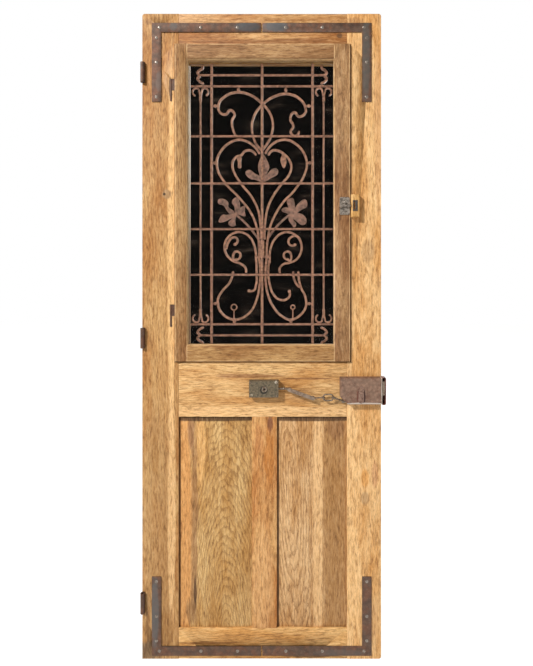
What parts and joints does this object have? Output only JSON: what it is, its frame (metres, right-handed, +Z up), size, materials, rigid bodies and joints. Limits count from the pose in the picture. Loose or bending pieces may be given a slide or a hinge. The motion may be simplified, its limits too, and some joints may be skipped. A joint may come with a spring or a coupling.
{
  "type": "panelled door leaf with a grille and an opening sash",
  "caption": "Tall panelled oak door leaf with a forged scroll grille behind a hinged glazed sash, corner straps, rim lock and linked pull latch.",
  "frame": {"origin": "middle of the bottom edge, at mid thickness of the leaf", "axes": "+X from the hinge edge to the lock edge, +Y from the inner face through the leaf, +Z up"},
  "size_m": [0.78, 0.0712, 2.064],
  "materials": {
    "oak": "aged varnished oak with darkened grain",
    "sash_wood": "darker brown oak of the sash, waxed",
    "block_wood": "dark stained block",
    "grille_iron": "forged iron with a thin brown rust",
    "strap_iron": "dark grey paint over iron with rust spots",
    "lock_iron": "browned iron, worn bright at its edges",
    "box_iron": "dark olive paint over iron",
    "link_iron": "worn bare iron",
    "screw_iron": "dull darkened screws",
    "clear_glass": "clear thin pane"
  },
  "bodies": {
    "leaf": {"bottom_rail": "oak", "box_rivets": "box_iron", "bulb_scrolls": "grille_iron", "centre_leaves": "grille_iron", "crown_scrolls": "grille_iron", "door_hinges": "strap_iron", "grille_collars": "grille_iron", "grille_corner_waves": "grille_iron", "grille_crossbars": "grille_iron", "grille_slim_bars": "grille_iron", "grille_uprights": "grille_iron", "hinge_screws": "screw_iron", "inner_heart": "grille_iron", "keeper_block": "block_wood", "keeper_plate": "strap_iron", "leaf_sprig_left": "grille_iron", "leaf_sprig_right": "grille_iron", "left_panel": "oak", "left_stile": "oak", "lining_bottom": "oak", "lining_left": "oak", "lining_right": "oak", "lining_top": "oak", "lock_case": "lock_iron", "lock_cover": "lock_iron", "lock_keeper": "lock_iron", "lock_rail": "oak", "lyre_scrolls": "grille_iron", "muntin": "oak", "outer_heart": "grille_iron", "right_panel": "oak", "right_stile": "oak", "sash_hinge_pins": "strap_iron", "strap_bottom_left": "strap_iron", "strap_bottom_right": "strap_iron", "strap_screws": "screw_iron", "strap_top_left": "strap_iron", "strap_top_right": "strap_iron", "top_rail": "oak", "transfer_box_case": "box_iron", "transfer_box_cover": "box_iron"},
    "sash": {"sash_left_stile": "sash_wood", "sash_right_stile": "sash_wood", "sash_top_rail": "sash_wood", "sash_bottom_rail": "sash_wood", "glass_pane": "clear_glass", "glazing_beads": "sash_wood", "sash_hinge_plates": "strap_iron", "sash_latch_plate": "link_iron"},
    "sash_latch": {"sash_bolt": "link_iron"},
    "follower": {"spindle_follower": "link_iron"},
    "pull": {"pull_rod": "link_iron"},
    "bar_link": {"flat_bar": "link_iron"},
    "tail_link": {"tail_rod": "link_iron"},
    "oval": {"oval_link": "link_iron"},
    "hook": {"end_hook": "link_iron"},
    "latch": {"latch_bolt": "link_iron"},
    "dead": {"dead_bolt": "link_iron"},
    "key_cover": {"keyhole_cover": "lock_iron"}
  },
  "joints": [
    {"name": "sash_swing", "type": "hinge", "parent": "leaf", "child": "sash", "pos_m": [-0.2902, -0.0208, 1.098], "axis": [0, 0, -1], "range_deg": [0, 105]},
    {"name": "sash_bolt_slide", "type": "slide", "parent": "sash", "child": "sash_latch", "axis": [1, 0, 0], "range_m": [0, 0.007]},
    {"name": "latch_slide", "type": "slide", "parent": "leaf", "child": "latch", "axis": [-1, 0, 0], "range_m": [0, 0.0085], "stiffness_N_per_m": 400, "springref_m": -0.006},
    {"name": "pull_slide", "type": "slide", "parent": "leaf", "child": "pull", "axis": [-1, 0, 0], "range_m": [0, 0.012]},
    {"name": "follower_turn", "type": "hinge", "parent": "leaf", "child": "follower", "pos_m": [0.0093, -0.035, 0.868], "axis": [0, -1, 0], "range_deg": [0, 50]},
    {"name": "bar_swing", "type": "hinge", "parent": "pull", "child": "bar_link", "pos_m": [0.0878, -0.035, 0.8655], "axis": [0, -1, 0], "range_deg": [0, 7.3]},
    {"name": "tail_swing", "type": "hinge", "parent": "bar_link", "child": "tail_link", "pos_m": [0.163, -0.035, 0.838], "axis": [0, -1, 0], "range_deg": [-21.2, 0]},
    {"name": "oval_swing", "type": "hinge", "parent": "tail_link", "child": "oval", "pos_m": [0.1956, -0.035, 0.84], "axis": [0, -1, 0], "range_deg": [0, 3.5]},
    {"name": "hook_swing", "type": "hinge", "parent": "oval", "child": "hook", "pos_m": [0.228, -0.035, 0.84], "axis": [0, -1, 0], "range_deg": [0, 17.4]},
    {"name": "dead_bolt_slide", "type": "slide", "parent": "leaf", "child": "dead", "axis": [1, 0, 0], "range_m": [0, 0.008]},
    {"name": "key_cover_swing", "type": "hinge", "parent": "leaf", "child": "key_cover", "pos_m": [0.314, -0.047, 0.8696], "axis": [0, -1, 0], "range_deg": [-70, 70]}
  ],
  "couplings": [
    {"joint": "pull_slide", "follows": "latch_slide", "ratio": 1.4118},
    {"joint": "follower_turn", "follows": "latch_slide", "rad_per_m": 102.67},
    {"joint": "bar_swing", "follows": "latch_slide", "rad_per_m": 14.989},
    {"joint": "tail_swing", "follows": "latch_slide", "rad_per_m": -43.531},
    {"joint": "oval_swing", "follows": "latch_slide", "rad_per_m": 7.1867},
    {"joint": "hook_swing", "follows": "latch_slide", "rad_per_m": 35.728}
  ]
}
